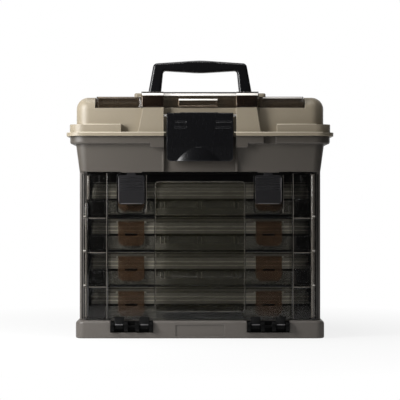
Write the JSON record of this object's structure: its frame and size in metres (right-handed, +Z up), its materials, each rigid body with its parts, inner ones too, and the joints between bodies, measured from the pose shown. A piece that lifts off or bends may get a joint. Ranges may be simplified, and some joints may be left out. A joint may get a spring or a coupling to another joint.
{
  "type": "fishing tackle cabinet",
  "caption": "Rack-type tackle cabinet: smoke drop-down door over stacked clear utility boxes, bulk case above, tan hinged lid with smoke cover, carrying handle and front latch.",
  "frame": {"origin": "middle of the base's underside, on the floor", "axes": "+Z up, front towards -Y, +X to the right seen from the front"},
  "size_m": [0.429, 0.3065, 0.4561],
  "materials": {
    "base_taupe": "fine moulded texture, taupe-grey",
    "case_grey": "fine moulded texture, dark taupe-grey",
    "lid_tan": "fine moulded texture, tan",
    "cover_smoke": "clear brown-smoke plastic",
    "black_plastic": "satin black",
    "door_smoke": "clear grey-smoke plastic",
    "box_clear": "clear frosted plastic",
    "clip_brown": "translucent amber-brown plastic",
    "divider_clear": "clear plastic plate",
    "steel": "plain drawn steel"
  },
  "bodies": {
    "cabinet": {"base_tray": "base_taupe", "side_panel_left": "base_taupe", "side_panel_right": "base_taupe", "back_panel": "base_taupe", "upper_case": "case_grey", "panel_screws": "steel", "door_hinge_left": "black_plastic", "door_hinge_right": "black_plastic", "door_hinge_pins": "black_plastic", "lid_hinge_pins": "steel"},
    "lid": {"lid_shell": "lid_tan", "lid_dividers": "divider_clear", "handle_pins": "steel", "main_latch_pin": "steel"},
    "cover": {"top_cover": "cover_smoke"},
    "grip": {"handle": "black_plastic"},
    "front_latch": {"main_latch": "black_plastic"},
    "door": {"front_door": "door_smoke"},
    "tab_left": {"door_latch_left": "black_plastic"},
    "tab_right": {"door_latch_right": "black_plastic"},
    "box_1": {"box_1_tray": "box_clear", "box_1_lid": "box_clear", "box_1_dividers": "divider_clear", "box_1_hinge_pins": "steel"},
    "clip_1_left": {"box_1_latch_left": "clip_brown"},
    "clip_1_right": {"box_1_latch_right": "clip_brown"},
    "box_2": {"box_2_tray": "box_clear", "box_2_lid": "box_clear", "box_2_dividers": "divider_clear", "box_2_hinge_pins": "steel"},
    "clip_2_left": {"box_2_latch_left": "clip_brown"},
    "clip_2_right": {"box_2_latch_right": "clip_brown"},
    "box_3": {"box_3_tray": "box_clear", "box_3_lid": "box_clear", "box_3_dividers": "divider_clear", "box_3_hinge_pins": "steel"},
    "clip_3_left": {"box_3_latch_left": "clip_brown"},
    "clip_3_right": {"box_3_latch_right": "clip_brown"},
    "box_4": {"box_4_tray": "box_clear", "box_4_lid": "box_clear", "box_4_dividers": "divider_clear", "box_4_hinge_pins": "steel"},
    "clip_4_left": {"box_4_latch_left": "clip_brown"},
    "clip_4_right": {"box_4_latch_right": "clip_brown"}
  },
  "joints": [
    {"name": "lid_open", "type": "hinge", "parent": "cabinet", "child": "lid", "pos_m": [0, 0.151, 0.3243], "axis": [-1, 0, 0], "range_deg": [0, 100]},
    {"name": "cover_open", "type": "hinge", "parent": "lid", "child": "cover", "pos_m": [0, -0.027, 0.3835], "axis": [-1, 0, 0], "range_deg": [0, 88]},
    {"name": "handle_fold", "type": "hinge", "parent": "lid", "child": "grip", "pos_m": [0, 0, 0.383], "axis": [-1, 0, 0], "range_deg": [0, 88]},
    {"name": "main_latch_open", "type": "hinge", "parent": "lid", "child": "front_latch", "pos_m": [0, -0.1395, 0.357], "axis": [-1, 0, 0], "range_deg": [0, 90]},
    {"name": "door_open", "type": "hinge", "parent": "cabinet", "child": "door", "pos_m": [0, -0.13, 0.0194], "axis": [1, 0, 0], "range_deg": [0, 90]},
    {"name": "door_latch_left_slide", "type": "slide", "parent": "door", "child": "tab_left", "axis": [0, 0, -1], "range_m": [0, 0.016]},
    {"name": "door_latch_right_slide", "type": "slide", "parent": "door", "child": "tab_right", "axis": [0, 0, -1], "range_m": [0, 0.016]},
    {"name": "box_1_slide", "type": "slide", "parent": "cabinet", "child": "box_1", "axis": [0, -1, 0], "range_m": [0, 0.0255]},
    {"name": "box_1_latch_left_open", "type": "hinge", "parent": "box_1", "child": "clip_1_left", "pos_m": [-0.111, -0.1118, 0.0726], "axis": [-1, 0, 0], "range_deg": [0, 6]},
    {"name": "box_1_latch_right_open", "type": "hinge", "parent": "box_1", "child": "clip_1_right", "pos_m": [0.111, -0.1118, 0.0726], "axis": [-1, 0, 0], "range_deg": [0, 6]},
    {"name": "box_2_slide", "type": "slide", "parent": "cabinet", "child": "box_2", "axis": [0, -1, 0], "range_m": [0, 0.1005]},
    {"name": "box_2_latch_left_open", "type": "hinge", "parent": "box_2", "child": "clip_2_left", "pos_m": [-0.111, -0.1118, 0.1292], "axis": [-1, 0, 0], "range_deg": [0, 6]},
    {"name": "box_2_latch_right_open", "type": "hinge", "parent": "box_2", "child": "clip_2_right", "pos_m": [0.111, -0.1118, 0.1292], "axis": [-1, 0, 0], "range_deg": [0, 6]},
    {"name": "box_3_slide", "type": "slide", "parent": "cabinet", "child": "box_3", "axis": [0, -1, 0], "range_m": [0, 0.1505]},
    {"name": "box_3_latch_left_open", "type": "hinge", "parent": "box_3", "child": "clip_3_left", "pos_m": [-0.111, -0.1118, 0.1858], "axis": [-1, 0, 0], "range_deg": [0, 6]},
    {"name": "box_3_latch_right_open", "type": "hinge", "parent": "box_3", "child": "clip_3_right", "pos_m": [0.111, -0.1118, 0.1858], "axis": [-1, 0, 0], "range_deg": [0, 6]},
    {"name": "box_4_slide", "type": "slide", "parent": "cabinet", "child": "box_4", "axis": [0, -1, 0], "range_m": [0, 0.1505]},
    {"name": "box_4_latch_left_open", "type": "hinge", "parent": "box_4", "child": "clip_4_left", "pos_m": [-0.111, -0.1118, 0.2424], "axis": [-1, 0, 0], "range_deg": [0, 6]},
    {"name": "box_4_latch_right_open", "type": "hinge", "parent": "box_4", "child": "clip_4_right", "pos_m": [0.111, -0.1118, 0.2424], "axis": [-1, 0, 0], "range_deg": [0, 6]}
  ],
  "couplings": [
    {"joint": "box_1_slide", "follows": "door_open", "m_per_rad": 0.015915},
    {"joint": "box_2_slide", "follows": "door_open", "m_per_rad": 0.063662},
    {"joint": "box_3_slide", "follows": "door_open", "m_per_rad": 0.095493},
    {"joint": "box_4_slide", "follows": "door_open", "m_per_rad": 0.095493}
  ]
}
